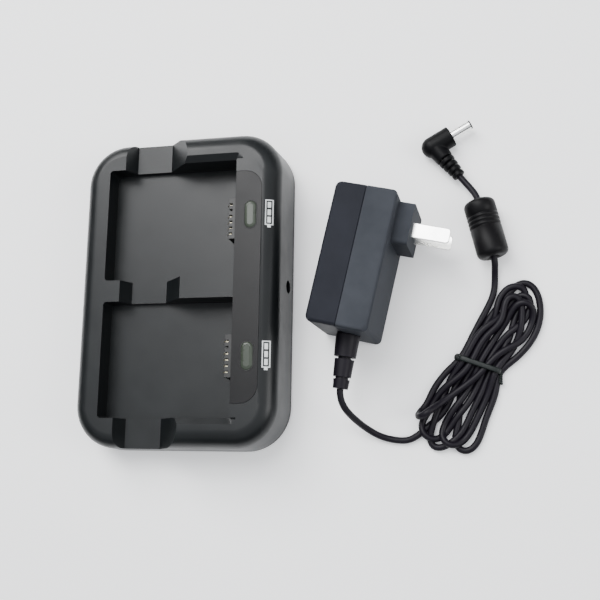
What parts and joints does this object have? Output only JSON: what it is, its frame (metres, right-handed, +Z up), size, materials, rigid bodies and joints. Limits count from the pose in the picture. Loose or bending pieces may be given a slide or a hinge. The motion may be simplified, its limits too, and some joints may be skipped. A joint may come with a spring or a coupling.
{
  "type": "battery charging dock with mains adapter",
  "caption": "Dark plastic desktop charger with battery bays, sprung contact blades and indicator lenses, and a wall adapter on a tied lead with a right-angle DC plug.",
  "frame": {"origin": "on the table, under the middle of the dock and the adapter housing together, the free lead left out", "axes": "+X from the dock towards the adapter, +Y along the dock away from the lead's hank, +Z up from the rubber feet"},
  "size_m": [0.2101, 0.1512, 0.042],
  "materials": {
    "dock_plastic": "fine moulded texture, soft sheen",
    "base_plastic": "fine moulded texture",
    "panel_plastic": "satin, smoother than the case",
    "lens": "frosted, slightly green",
    "board_green": "solder mask",
    "led_white": "clear moulded",
    "chip": "epoxy",
    "ferrite_grey": "sintered ceramic",
    "capacitor_can": "drawn can",
    "jack_plastic": "moulded",
    "nickel": "bright nickel plate",
    "block_plastic": "moulded",
    "gold": "gold flash over spring alloy",
    "screw_steel": "plated",
    "foot_rubber": "soft",
    "label_foil": "blank foil",
    "adapter_front_plastic": "satin moulded",
    "adapter_rear_plastic": "satin moulded",
    "board_tan": "laminate",
    "winding_copper": "enamelled wire",
    "capacitor_sleeve": "shrink sleeve",
    "fuse_body": "moulded",
    "sink_aluminium": "plain sheet",
    "cord_rubber": "satin vinyl jacket",
    "tie_plastic": "coated wire",
    "sleeve_rubber": "satin overmould",
    "plug_rubber": "satin overmould",
    "insulator_plastic": "moulded"
  },
  "bodies": {
    "dock": {"upper_case": "dock_plastic", "lower_case": "base_plastic", "indicator_panel": "panel_plastic", "light_guide_upper": "lens", "light_guide_lower": "lens", "main_board": "board_green", "leds": "led_white", "charge_controllers": "chip", "microcontroller": "chip", "inductors": "ferrite_grey", "board_capacitors": "capacitor_can", "dc_jack_housing": "jack_plastic", "dc_jack_pin": "nickel", "contact_block_upper": "block_plastic", "contact_block_lower": "block_plastic", "contact_tails_upper": "gold", "contact_tails_lower": "gold", "case_screws": "screw_steel", "board_screws": "screw_steel", "rubber_feet": "foot_rubber", "blank_label": "label_foil"},
    "blades_upper": {"contact_blades_upper": "gold"},
    "blades_lower": {"contact_blades_lower": "gold"},
    "adapter": {"adapter_front_case": "adapter_front_plastic", "adapter_rear_case": "adapter_rear_plastic", "mains_blade_line": "nickel", "mains_blade_neutral": "nickel", "adapter_board": "board_tan", "transformer_core": "ferrite_grey", "transformer_winding": "winding_copper", "adapter_capacitors": "capacitor_sleeve", "mains_fuse": "fuse_body", "heat_sink": "sink_aluminium", "strain_relief": "cord_rubber", "cord_adapter_run": "cord_rubber", "cord_hank": "cord_rubber", "cable_tie": "tie_plastic", "cord_ferrite_run": "cord_rubber", "cord_in_ferrite": "cord_rubber", "ferrite_core": "ferrite_grey", "ferrite_sleeve": "sleeve_rubber", "cord_plug_run": "cord_rubber", "plug_body": "plug_rubber", "plug_barrel": "nickel", "plug_insulator": "insulator_plastic"}
  },
  "joints": [
    {"name": "contact_press_upper", "type": "slide", "parent": "dock", "child": "blades_upper", "axis": [1, 0, 0], "range_m": [0, 0.0015], "stiffness_N_per_m": 600},
    {"name": "contact_press_lower", "type": "slide", "parent": "dock", "child": "blades_lower", "axis": [1, 0, 0], "range_m": [0, 0.0015], "stiffness_N_per_m": 600},
    {"name": "adapter_lift", "type": "slide", "parent": "dock", "child": "adapter", "axis": [0, 0, 1], "range_m": [0, 0.08]}
  ]
}
